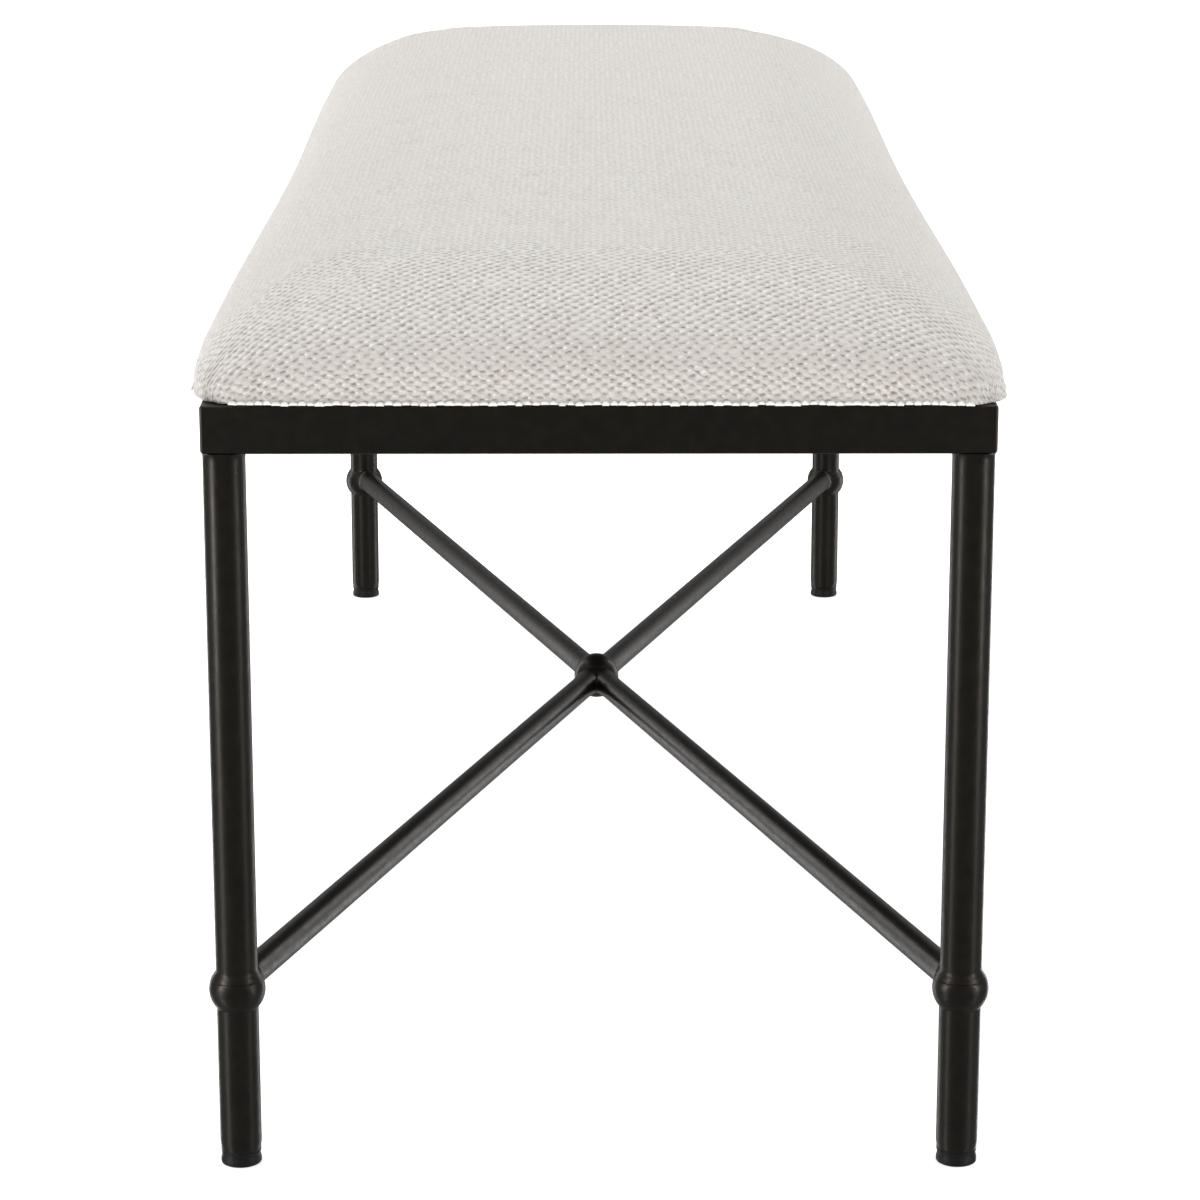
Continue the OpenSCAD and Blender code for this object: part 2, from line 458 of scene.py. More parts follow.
@dataclass(frozen=True)
class Weave:
    """Coarse off-white plain weave: rows of plump floats, each row half a float along.

    A row and a half float are the threads' pitches. Wander, drift, jitter and slip put them out
    of line, in rows or half floats, and scales are in waves to the metre.
    """

    name: str = "ivory_coarse_weave"
    thread_map: str = "threads"
    row_gap: float = 2.45 * MM
    half_float: float = 3.65 * MM
    wander: float = 0.85
    drift_scale: float = 42.0
    jitter_scale: float = 260.0
    row_slip: float = 0.45
    row_crest: float = 1.5
    float_crest: float = 0.7
    plumpness: float = 0.8
    relief_depth: float = 1.35 * MM
    fibre_scale: tuple[float, float, float] = (2600.0, 620.0, 1.0)
    fibre_depth: float = 0.20
    uneven: float = 0.30
    yarn: Colour = (0.755, 0.708, 0.657)
    # Painted highlight: the colour that the crests of the floats are lightened towards.
    bright: Colour = (0.87, 0.86, 0.835)
    warm: Colour = (0.665, 0.575, 0.525)
    warmest: float = 0.55
    cloud_scale: float = 30.0
    # Painted highlight: the most that the fibres on a crest are lightened.
    crest_highlight: float = 0.7
    # Painted highlight: near-white glints near one end of the floats, shifted along them by the next
    # field.
    painted_glint: Colour = (0.95, 0.95, 0.94)
    glint_shift: float = 0.33
    # Painted shade: the brownish colour laid into the slits between floats, where shade falls between
    # the yarns. The three fields below set how far it reaches, how it fades and how faint it may be.
    slit_shade: Colour = (0.26, 0.215, 0.175)
    slit_reach: float = 0.10
    slit_falloff: float = 2.0
    faintest_slit: float = 0.30

    @staticmethod
    def wave(board: Board, count: Socket, sharpness: float) -> Socket:
        """Draws a wave that turns over at each whole number, with narrow or broad crests.

        Args:
            board: the material's node board.
            count: the count of threads up to a place.
            sharpness: how narrow the crests are.

        Returns:
            The wave's socket.
        """
        cosine = board.math("COSINE", board.times(count, math.pi))
        crest = board.math("POWER", board.math("ABSOLUTE", cosine), sharpness)
        return board.times(crest, board.math("SIGN", cosine))

    def threads(self, board: Board, chart: Socket) -> tuple[Socket, Socket]:
        """Counts the threads.

        Args:
            board: the material's board.
            chart: the place on the flat cloth.

        Returns:
            How many rows and how many half floats in, with the threads' unevenness.
        """
        split = board.node("ShaderNodeSeparateXYZ")
        board.wire(chart, split.inputs["Vector"])
        drift = board.math("SUBTRACT", board.noise(chart, self.drift_scale, 2.0), 0.5)
        jitter = board.math("SUBTRACT", board.noise(chart, self.jitter_scale, 1.0), 0.5)
        jitter = board.times(jitter, self.wander)
        rows = board.plus(
            board.math("DIVIDE", split.outputs["X"], self.row_gap), board.times(drift, self.wander * 2)
        )
        rows = board.plus(rows, jitter)
        row_noise = board.node("ShaderNodeTexWhiteNoise", noise_dimensions="1D")
        board.wire(board.math("ROUND", rows), row_noise.inputs["W"])
        floats = board.math("DIVIDE", split.outputs["Y"], self.half_float)
        floats = board.math("SUBTRACT", floats, jitter)
        return rows, board.plus(floats, board.times(row_noise.outputs["Value"], self.row_slip))

    @staticmethod
    def lot(board: Board, rows: Socket, floats: Socket) -> Socket:
        """Draws a lot from 0 to 1 for each float of the weave.

        Args:
            board: the material's node board.
            rows: the number of the row.
            floats: the number of the float along it.

        Returns:
            The lot's socket.
        """
        pair = board.node("ShaderNodeCombineXYZ")
        for operation, axis in (("ADD", "X"), ("SUBTRACT", "Y")):
            slant = board.times(board.math(operation, rows, floats), 0.5)
            board.wire(board.math("ROUND", slant), pair.inputs[axis])
        lots = board.node("ShaderNodeTexWhiteNoise", noise_dimensions="2D")
        board.wire(pair.outputs["Vector"], lots.inputs["Vector"])
        return lots.outputs["Value"]

    def colour(self, board: Board, chart: Socket, plump: Socket, fibre: Socket, lot: Socket) -> Socket:
        """Colours the yarn between its slits: warmer in clouds, and brighter on the crests as a painted
        highlight.

        Args:
            board: the material's node board.
            chart: the place on the cloth.
            plump: how high the yarn stands.
            fibre: the pattern of its fibres.
            lot: the float's own lot.

        Returns:
            The colour's socket.
        """
        cloud = board.noise(chart, self.cloud_scale, 3.0, 0.6)
        warmth = board.times(board.remap(cloud, 0.50, 0.70, 0.0, self.warmest), lot)
        body = board.blend(warmth, self.yarn, self.warm)
        # Painted highlight: lightens the fibres on the crests of the floats, where the light falls on
        # them.
        crests = board.remap(plump, 0.6, 0.95, 0.0, self.crest_highlight)
        shine = board.times(board.remap(fibre, 0.50, 0.72, 0.0, 1.0), crests)
        return board.blend(shine, body, self.bright)

    def material(self) -> bpy.types.Material:
        """Returns the cloth as a node material, drawn along the cloth's own threads.

        Returns:
            The material.
        """
        board = Board(self.name)
        chart = board.node("ShaderNodeUVMap", uv_map=self.thread_map).outputs["UV"]
        rows, floats = self.threads(board, chart)
        crate = board.times(
            self.wave(board, rows, self.row_crest), self.wave(board, floats, self.float_crest)
        )
        plump = board.math("POWER", board.remap(crate, -1.0, 1.0, 0.0, 1.0), self.plumpness)
        fibre = board.noise(board.stretched(chart, self.fibre_scale), 1.0, 3.0, 0.65)
        lot = self.lot(board, rows, floats)
        height = board.plus(plump, board.times(fibre, self.fibre_depth))
        height = board.plus(height, board.times(board.times(lot, plump), self.uneven))
        lit = self.colour(board, chart, plump, fibre, lot)
        # Painted highlight: near-white glints near one end of each float, stronger on some floats than
        # on others.
        glint_wave = self.wave(board, board.plus(floats, self.glint_shift), 1.0)
        painted_glint = board.remap(board.times(self.wave(board, rows, 1.0), glint_wave), 0.62, 0.92, 0.0, 1.0)
        painted_glint = board.times(painted_glint, board.remap(lot, 0.25, 0.85, 0.0, 1.0))
        lit = board.blend(painted_glint, lit, self.painted_glint)
        # Painted shade: darkens the yarn towards the slits' shade colour between the floats, fainter on
        # some floats than on others.
        slit_shade_share = board.remap(crate, -1.0, self.slit_reach, 1.0, 0.0)
        slit_shade_share = board.math("POWER", slit_shade_share, self.slit_falloff)
        slit_shade_share = board.times(slit_shade_share, board.remap(lot, 0.0, 1.0, self.faintest_slit, 1.0))
        return board.dress(
            Base_Color=board.blend(slit_shade_share, lit, self.slit_shade),
            Roughness=0.80,
            Specular_IOR_Level=0.35,
            Sheen_Weight=0.60,
            Sheen_Roughness=0.4,
            Normal=board.relief(height, self.relief_depth),
        )


@dataclass(frozen=True)
class Grained:
    """A plain stuff with a grained colour, such as plastic, foam, plywood or studio paper."""

    name: str
    dark: Colour
    light: Colour
    scale: float
    stretch: tuple[float, float, float] = (1.0, 1.0, 1.0)
    rough: float = 0.6
    rough_spread: float = 0.06
    metallic: float = 0.0
    depth: float = 0.05 * MM
    sheen: float = 0.0
    shine: float = 0.5
    glow: float = 0.0

    def material(self) -> bpy.types.Material:
        """Returns the stuff as a node material.

        Returns:
            The material.
        """
        board = Board(self.name)
        where = board.stretched(board.place(), self.stretch)
        grain = board.noise(where, self.scale, 4.0, 0.6)
        share = board.remap(grain, *NOISE_REACH, 0.0, 1.0)
        rougher, smoother = self.rough + self.rough_spread, self.rough - self.rough_spread
        return board.dress(
            Base_Color=board.blend(share, self.dark, self.light),
            Roughness=board.remap(grain, *NOISE_REACH, smoother, rougher),
            Normal=board.relief(grain, self.depth),
            Metallic=self.metallic,
            Sheen_Weight=self.sheen,
            Specular_IOR_Level=self.shine,
            Emission_Color=(1, 1, 1, 1),
            Emission_Strength=self.glow,
        )


class Stock(Enum):
    """The finishes that the bench is made in, with the record's slot for each."""

    PAINT = ("frame_paint", SatinPaint())
    CLOTH = ("woven_cover", Weave())
    # Painted highlight: the lip's floats are the cover's own yarn, coloured brighter for the light that
    # their thin edges catch.
    LIP_YARN = (
        "woven_cover",
        Grained("lip_yarn_painted_brighter", (0.86, 0.85, 0.83), (0.96, 0.955, 0.945), 900.0, rough=0.8, sheen=0.2),
    )
    PLASTIC = (
        "glide_plastic",
        Grained(
            "black_plastic", (0.004, 0.0038, 0.0036), (0.009, 0.0085, 0.008), 700.0, rough=0.5, shine=0.2
        ),
    )
    ZINC = (
        "zinc_steel",
        Grained("zinc_plate", (0.42, 0.43, 0.45), (0.62, 0.63, 0.66), 600.0, rough=0.34, metallic=1.0),
    )
    PLY = (
        "plywood",
        Grained(
            "birch_ply", (0.42, 0.29, 0.17), (0.62, 0.47, 0.30), 60.0, (0.08, 1.0, 6.0), depth=0.1 * MM
        ),
    )
    FOAM = (
        "foam",
        Grained("seat_foam", (0.70, 0.61, 0.36), (0.86, 0.79, 0.55), 900.0, rough=0.9, depth=0.3 * MM),
    )
    WADDING = (
        "wadding",
        Grained(
            "polyester_wadding", (0.80, 0.80, 0.78), (0.93, 0.93, 0.91), 260.0,
            rough=0.95, depth=0.4 * MM, sheen=0.3,
        ),
    )
    DUST_CLOTH = (
        "dust_cloth",
        Grained(
            "dust_cloth", (0.012, 0.012, 0.013), (0.035, 0.035, 0.038), 800.0, rough=0.9, depth=0.08 * MM
        ),
    )

    def __init__(self, slot: str, finish: SatinPaint | Weave | Grained) -> None:
        """Keeps the slot's name and makes the material once."""
        self.slot = slot
        self.material = finish.material()

    def on(self, piece: bpy.types.Object) -> None:
        """Dresses a piece in this finish alone.

        Args:
            piece: the piece.
        """
        piece.data.materials.clear()
        piece.data.materials.append(self.material)
        for face in piece.data.polygons:
            face.material_index = 0

    def over_node(self, node: str) -> None:
        """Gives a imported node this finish, in its object's own slots.

        Args:
            node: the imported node's name.
        """
        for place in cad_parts[node].material_slots:
            place.link = "OBJECT"
            place.material = self.material


def fit_in(piece: bpy.types.Object, stock: Stock, *nodes: str) -> None:
    """Dresses a finished piece, rides it on the bench and lets it stand for nodes.

    Args:
        piece: the finished piece, with its place in its mesh.
        stock: its finish.
        nodes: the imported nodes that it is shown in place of.
    """
    stock.on(piece)
    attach(piece, "root")
    if nodes:
        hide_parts(*nodes)
    LOG.info("%s: %d faces, %s", piece.name, len(piece.data.polygons), stock.name.lower())


def round_of(node: str) -> tuple[float, Vector]:
    """Returns the radius, measured along X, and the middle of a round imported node."""
    low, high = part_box(node)
    return (high.x - low.x) / 2, (low + high) / 2


# ---------------------------------------------------------------- the steel frame


class Corner(Enum):
    """A corner of the bench, by the names of its nodes."""

    FRONT_LEFT = (-1, -1)
    FRONT_RIGHT = (1, -1)
    REAR_LEFT = (-1, 1)
    REAR_RIGHT = (1, 1)

    def node(self, kind: str) -> str:
        """Returns the name of this corner's node of a kind, such as its leg."""
        return f"{kind}_{self.name.lower()}"


@dataclass
class RailFrame:
    """The mitred rectangle of square tube that carries the seat."""

    edge_round: float = 1.8 * MM
    round_steps: int = 4

    def ring(self) -> bpy.types.Object:
        """Returns the whole rectangle in one piece, with its edges rounded.

        Returns:
            The rectangle.
        """
        low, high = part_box("front_rail")
        side = high.y - low.y
        clear_selection()
        bpy.ops.mesh.primitive_plane_add(size=1, location=(0, 0, low.z))
        piece = bpy.context.object
        piece.scale = (high.x - low.x, -2 * low.y, 1)
        settle(piece)
        bpy.ops.object.mode_set(mode="EDIT")
        bpy.ops.mesh.select_all(action="SELECT")
        bpy.ops.mesh.inset(thickness=side)
        bpy.ops.mesh.delete(type="FACE")
        bpy.ops.mesh.select_all(action="SELECT")
        bpy.ops.mesh.extrude_region_move(TRANSFORM_OT_translate={"value": (0, 0, high.z - low.z)})
        bpy.ops.mesh.select_all(action="SELECT")
        bpy.ops.mesh.normals_make_consistent(inside=False)
        bpy.ops.object.mode_set(mode="OBJECT")

        def rounded(middle: Vector, way: Vector) -> bool:
            """Picks every edge but those across the mitres and the upright ones inside.

            Args:
                middle: the edge's middle.
                way: its direction.

            Returns:
                True if the edge is to be rounded.
            """
            across_mitre = abs(way.x) > 0.1 and abs(way.y) > 0.1
            upright_inside = abs(way.z) > 0.9 and abs(middle.x) < high.x - side / 2
            return not across_mitre and not upright_inside

        choose_edges(piece, rounded)
        bpy.ops.mesh.bevel(offset=self.edge_round, segments=self.round_steps, profile=0.5)
        bpy.ops.object.mode_set(mode="OBJECT")
        return piece

    def build(self) -> None:
        """Makes the four rails from one ring, cut apart along the mitres."""
        _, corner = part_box("right_end_rail")
        whole = self.ring()
        for node, way in (
            ("front_rail", Vector((0, -1, 0))),
            ("rear_rail", Vector((0, 1, 0))),
            ("left_end_rail", Vector((-1, 0, 0))),
            ("right_end_rail", Vector((1, 0, 0))),
        ):
            rail = whole.copy()
            rail.data = whole.data.copy()
            rail.name = f"{node}_tube"
            bpy.context.collection.objects.link(rail)
            cut_back(rail, (0, 0, 0), -way)
            across = Vector((abs(way.y), abs(way.x), 0))
            for end in (-1, 1):
                mitre = way + across * end
                point = (corner.x * mitre.x, corner.y * mitre.y, 0)
                cut_back(rail, point, (across * end - way).normalized())
            smooth(rail)
            fit_in(rail, Stock.PAINT, node)
        bpy.data.objects.remove(whole)


@dataclass
class Leg:
    """One leg: its tube, its ball and its glide."""

    corner: Corner
    sides: int = 64
    wall: float = 1.6 * MM
    end_break: float = 0.3 * MM
    weld_high: float = 4.0 * MM
    weld_wide: float = 1.4 * MM
    crimp: float = 0.35 * MM
    crimp_high: float = 2.2 * MM
    crimp_fade: float = 3.6 * MM
    ball_sink: float = 0.4 * MM
    upper_fillet: float = 3.2 * MM
    lower_fillet: float = 1.0 * MM
    crease_up: float = 5.9 * MM
    crease_deep: float = 0.30 * MM
    crease_half: float = 0.35 * MM
    foot_round: float = 0.9 * MM
    foot_waist: float = 0.55 * MM
    plug_gap: float = 1.6 * MM
    rib_deep: float = 0.6 * MM
    rib_count: int = 4

    def tube(self) -> None:
        """Makes the tube, with a weld fillet under the rails and a crimped foot."""
        node = self.corner.node("leg")
        radius, middle = round_of(node)
        low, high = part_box(node)
        inner = radius - self.wall
        fillet = [
            (radius + self.weld_wide * (1 - math.cos(a)), high.z - self.weld_high * (1 - math.sin(a)))
            for a in np.radians([0, 20, 40, 58, 74, 90])
        ]
        rings = [
            (inner, low.z),
            (radius - self.crimp - self.end_break, low.z),
            (radius - self.crimp, low.z + self.end_break),
            (radius - self.crimp, low.z + self.crimp_high),
            (radius - self.crimp / 3, low.z + self.crimp_fade),
            *[(radius, z) for z in np.linspace(low.z + 5 * MM, high.z - self.weld_high, 9)[:-1]],
            *fillet,
            (inner, high.z),
        ]
        piece = turn_on_axis(self.corner.node("leg_tube"), rings, self.sides, True)
        piece.location = (middle.x, middle.y, 0)
        settle(piece)
        rail_low, rail_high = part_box("front_rail")
        flush = np.array([rail_high.x, -rail_low.y]) - self.end_break
        points = points_of(piece)
        near_top = points[:, 2] > high.z - self.weld_high
        points[near_top, :2] = np.clip(points[near_top, :2], -flush, flush)
        put_points(piece, points)
        smooth(piece, 50)
        fit_in(piece, Stock.PAINT, node)

    def ball(self) -> None:
        """Makes the ball, with a fillet of weld above it and a tight one below."""
        node = self.corner.node("ball")
        radius, middle = round_of(node)
        leg_radius, _ = round_of(self.corner.node("leg"))
        sunk = leg_radius - self.ball_sink
        rings = [
            (sunk, -self.fillet_reach(radius, leg_radius, self.lower_fillet)),
            *self.flank(radius, leg_radius, self.lower_fillet, -1),
            *self.creased(self.flank(radius, leg_radius, self.upper_fillet, 1)),
            (sunk, self.fillet_reach(radius, leg_radius, self.upper_fillet)),
        ]
        piece = turn_on_axis(self.corner.node("leg_ball"), rings, self.sides, True)
        piece.location = middle
        settle(piece)
        smooth(piece, 60)
        fit_in(piece, Stock.PAINT, node)

    def creased(self, flank: list[Ring]) -> list[Ring]:
        """Cuts a shallow crease into an upper flank, where the weld bead ends on the ball.

        Args:
            flank: the flank's rings.

        Returns:
            The rings with the crease in them.
        """
        near = min(range(len(flank)), key=lambda i: abs(flank[i][1] - self.crease_up))
        radius, height = flank[near]
        crease = [
            (radius, height - self.crease_half),
            (radius - self.crease_deep, height),
            (radius, height + self.crease_half),
        ]
        return flank[:near] + crease + flank[near + 1:]

    @staticmethod
    def fillet_reach(ball: float, leg: float, fillet: float) -> float:
        """Returns the height above the ball's middle at which its fillet meets the leg."""
        return math.sqrt((ball + fillet) ** 2 - (leg + fillet) ** 2)

    @classmethod
    def flank(cls, ball: float, leg: float, fillet: float, side: int) -> list[Ring]:
        """Returns the profile of a ball from its equator to a leg, or the other way.

        Args:
            ball: the ball's radius.
            leg: the leg's radius.
            fillet: the fillet's radius.
            side: 1 for the upper flank, outwards in, or -1 for the lower, inwards out.

        Returns:
            The flank's rings.
        """
        reach = cls.fillet_reach(ball, leg, fillet)
        lean = math.degrees(math.atan2(reach, leg + fillet))
        upper = arc((0, 0), ball, 0, lean, 10)
        upper += arc((leg + fillet, reach), fillet, 180 + lean, 180, 5)[1:]
        if side > 0:
            return upper
        return [(r, -z) for r, z in reversed(upper)][:-1]

    def glide(self) -> None:
        """Makes the plastic glide: a waisted foot on a ribbed plug."""
        node = self.corner.node("glide")
        radius, middle = round_of(node)
        low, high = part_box(node)
        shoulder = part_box(self.corner.node("leg"))[0].z
        waist, bead, stem = radius - self.foot_waist, radius - 0.15 * MM, radius - self.plug_gap
        rings = [
            (radius - 3.0 * MM, low.z),
            *arc((radius - self.foot_round, low.z + self.foot_round), self.foot_round, -90, 0, 4),
            (radius, low.z + 2.4 * MM),
            (radius - 0.30 * MM, low.z + 3.6 * MM),
            (waist, low.z + 4.8 * MM),
            (waist, shoulder - 1.1 * MM),
            (bead, shoulder - 0.8 * MM),
            (bead, shoulder - 0.3 * MM),
            (radius - 0.45 * MM, shoulder),
            (stem, shoulder),
        ]
        groove = stem - self.rib_deep
        for rib in np.linspace(shoulder + 3 * MM, high.z - 4 * MM, self.rib_count):
            rings += [(groove, rib - 1.2 * MM), (stem, rib), (groove, rib + 0.3 * MM)]
        rings.append((groove - 1.0 * MM, high.z))
        piece = turn_on_axis(self.corner.node("leg_glide"), rings, self.sides, False)
        piece.location = (middle.x, middle.y, 0)
        settle(piece)
        smooth(piece, 40)
        fit_in(piece, Stock.PLASTIC, node)

    def build(self) -> None:
        """Makes the leg's three pieces."""
        self.tube()
        self.ball()
        self.glide()


@dataclass
class Stretcher:
    """Four rods that run from the leg balls to a ball in the middle."""

    sides: int = 48
    weld_long: float = 5.0 * MM
    weld_wide: float = 1.3 * MM
    weld_sink: float = 0.6 * MM
    pole: float = 3.0
    saddle_long: float = 52.0 * MM
    saddle_proud: float = 0.25 * MM
    saddle_voxel: float = 0.9 * MM
    saddle_flow: int = 70
    saddle_swell: float = 0.45 * MM

    @staticmethod
    def lay(piece: bpy.types.Object, corner: Corner) -> float:
        """Lays an upright piece down from the middle towards a corner's ball.

        Args:
            piece: a turned piece, on the Z axis.
            corner: the corner that its upper end goes to.

        Returns:
            The height of the rods' axes.
        """
        low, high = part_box(corner.node("rod"))
        axis_z = (low.z + high.z) / 2
        _, ball = round_of(corner.node("ball"))
        heading = Vector((ball.x, ball.y, 0)).to_track_quat("Z", "Y").to_matrix().to_4x4()
        piece.matrix_world = Matrix.Translation((0, 0, axis_z)) @ heading
        settle(piece)
        return axis_z

    @staticmethod
    def rod_radius() -> float:
        """Returns the rods' radius."""
        low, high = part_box("rod_front_left")
        return (high.z - low.z) / 2

    def rod(self, corner: Corner) -> None:
        """Makes one rod, mitred in the middle and flared where it is welded to its ball.

        Args:
            corner: the corner that the rod runs to.
        """
        node = corner.node("rod")
        radius = self.rod_radius()
        ball_radius, ball = round_of(corner.node("ball"))
        start = math.hypot(ball.x, ball.y) - math.sqrt(ball_radius**2 - radius**2) - self.weld_sink
        flare = [
            (radius + self.weld_wide * (1 - math.cos(a)), start + self.weld_long * (math.sin(a) - 1))
            for a in np.radians([0, 25, 48, 70, 90])
        ]
        rings = [
            *[(radius, z) for z in np.linspace(-radius * 2, start - self.weld_long, 10)[:-1]],
            *flare,
            (radius + self.weld_wide * 0.9, start + 1.5 * MM),
            (radius, start + 3 * MM),
        ]
        piece = turn_on_axis(f"stretcher_{node}", rings, self.sides, False)
        axis_z = self.lay(piece, corner)
        sign_x, sign_y = corner.value
        cut_back(piece, (0, 0, axis_z), (-sign_x, 0, 0))
        cut_back(piece, (0, 0, axis_z), (0, -sign_y, 0))
        smooth(piece, 40)
        fit_in(piece, Stock.PAINT, node)

    def middle_ball(self) -> None:
        """Makes the middle ball, faintly flattened at its poles like a turned one."""
        low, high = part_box("centre_ball")
        radius = (high.z - low.z) / 2
        rings = arc((0, 0), radius, -90 + self.pole, 90 - self.pole, 29)
        piece = turn_on_axis("stretcher_centre_ball", rings, self.sides, False)
        piece.location = (low + high) / 2
        settle(piece)
        smooth(piece, 60)
        fit_in(piece, Stock.PAINT, "centre_ball")

    def saddle(self) -> None:
        """Makes the weld that fills the crotches between the rods, from four stubs run together."""
        radius = self.rod_radius()
        rings = [
            (radius + self.saddle_proud, -radius),
            (radius + self.saddle_proud, self.saddle_long / 3),
            (radius - self.saddle_proud * 2, self.saddle_long),
        ]
        stubs = []
        for corner in Corner:
            stub = turn_on_axis("stretcher_saddle", rings, self.sides, False)
            self.lay(stub, corner)
            stubs.append(stub)
        clear_selection()
        for stub in stubs:
            stub.select_set(True)
        piece = stubs[0]
        bpy.context.view_layer.objects.active = piece
        bpy.ops.object.join()
        skin = piece.modifiers.new("skin", "REMESH")
        skin.mode = "VOXEL"
        skin.voxel_size = self.saddle_voxel
        flow = piece.modifiers.new("flow", "SMOOTH")
        flow.factor = 0.5
        flow.iterations = self.saddle_flow
        swell = piece.modifiers.new("swell", "DISPLACE")
        swell.mid_level = 0.0
        swell.strength = self.saddle_swell
        apply_modifiers(piece)
        smooth(piece, 180)
        fit_in(piece, Stock.PAINT)

    def build(self) -> None:
        """Makes the four rods, their weld and their ball."""
        for corner in Corner:
            self.rod(corner)
        self.saddle()
        self.middle_ball()


# ---------------------------------------------------------------- the seat pad


@dataclass(frozen=True)
class PadForm:
    """The crowned form of the pad: soft rolls all round, and sides that pull in between corners."""

    half_length: float
    half_width: float
    lip_z: float
    widest_z: float
    crown_z: float
    end_roll: float = 100 * MM
    side_roll: float = 98 * MM
    corner_power: float = 1.28
    side_crown: float = 8 * MM
    end_crown: float = 3 * MM
    waist: float = 3.5 * MM
    bulge_at: float = 0.72
    corner_reach: float = 42 * MM
    lip_powers: tuple[float, float] = (2.05, 2.8)
    pleat_count: int = 5

    def width_at(self, x: np.ndarray) -> np.ndarray:
        """Returns the half-width at places along the pad: full by the corners, less between."""
        share = np.clip(np.abs(x) / (self.half_length * self.bulge_at), 0, 1)
        return self.half_width - self.waist * np.cos(share * math.pi / 2) ** 2

    def shares(self, x: np.ndarray, y: np.ndarray) -> tuple[np.ndarray, np.ndarray]:
        """Returns how far the ends' and the sides' rolls have fallen, from 0 on top to 1.

        Args:
            x: places in X.
            y: places in Y.

        Returns:
            Two arrays, for the ends and for the sides.
        """
        end = np.clip((self.half_length - np.abs(x)) / self.end_roll, 0, 1)
        side = np.clip((self.width_at(x) - np.abs(y)) / self.side_roll, 0, 1)
        return 1 - np.sqrt(1 - (1 - end) ** 2), 1 - np.sqrt(1 - (1 - side) ** 2)

    def level(self, x: np.ndarray, y: np.ndarray) -> np.ndarray:
        """Returns 1 on the flat of the top, 0 on the widest line and less outside it."""
        end, side = self.shares(x, y)
        return 1 - (end**self.corner_power + side**self.corner_power) ** (1 / self.corner_power)

    def height(self, x: np.ndarray, y: np.ndarray) -> np.ndarray:
        """Returns the height of the upper surface.

        Args:
            x: places in X.
            y: places in Y.

        Returns:
            The height at each place.
        """
        top = (
            self.crown_z
            - self.side_crown * (y / self.half_width) ** 2
            - self.end_crown * (x / self.half_length) ** 2
        )
        return self.widest_z + (top - self.widest_z) * np.clip(self.level(x, y), 0, 1)

    def squared(self, points: np.ndarray, share: float) -> np.ndarray:
        """Fills out the corners of a ring, which are tighter at the lip than at the widest line.

        Args:
            points: the ring's places in plan.
            share: 0 leaves the ring as it is, and 1 gives it the lip's tight corners.

        Returns:
            The ring's new places in plan.
        """
        turn = np.array([self.half_length, self.half_width]) - self.corner_reach
        ahead = np.maximum(np.abs(points) - turn, 0) / self.corner_reach
        in_corner = (ahead > 0).all(axis=1)
        soft = np.linalg.norm(ahead, axis=1)
        power = np.where(points[:, 1] < 0, *self.lip_powers)
        tight = (ahead ** power[:, None]).sum(axis=1) ** (1 / power)
        fuller = np.minimum(soft, 1) / np.maximum(tight, TINY)
        target = np.sign(points) * (turn + ahead * self.corner_reach * fuller[:, None])
        return np.where(in_corner[:, None], points + (target - points) * share, points)

    def pleats(self, points: np.ndarray) -> np.ndarray:
        """Returns the depth of the small gathers at the corners of a ring, from -1 to 1.

        Args:
            points: the ring's places in plan.

        Returns:
            A number for each place.
        """
        turn = np.array([self.half_length, self.half_width]) - self.corner_reach
        ahead = np.maximum(np.abs(points) - turn, 0)
        share = np.arctan2(ahead[:, 1], ahead[:, 0]) / (math.pi / 2)
        return np.sin(share * math.pi * 2 * self.pleat_count) * np.sin(share * math.pi) ** 2

    def reach(self, from_x: float, from_y: float, angle: float) -> float:
        """Returns how far the widest line is from a point, in a direction.

        Args:
            from_x: the point's X, which is positive.
            from_y: its Y, which is positive.
            angle: the direction, in radians from +X.

        Returns:
            The distance.
        """
        near, far = 0.0, 2 * max(self.end_roll, self.side_roll)
        for _ in range(40):
            middle = (near + far) / 2
            x = from_x + middle * math.cos(angle)
            y = from_y + middle * math.sin(angle)
            inside = x < self.half_length and y < float(self.width_at(np.array(x)))
            if inside and float(self.level(np.array(x), np.array(y))) > 0:
                near = middle
            else:
                far = middle
        return near


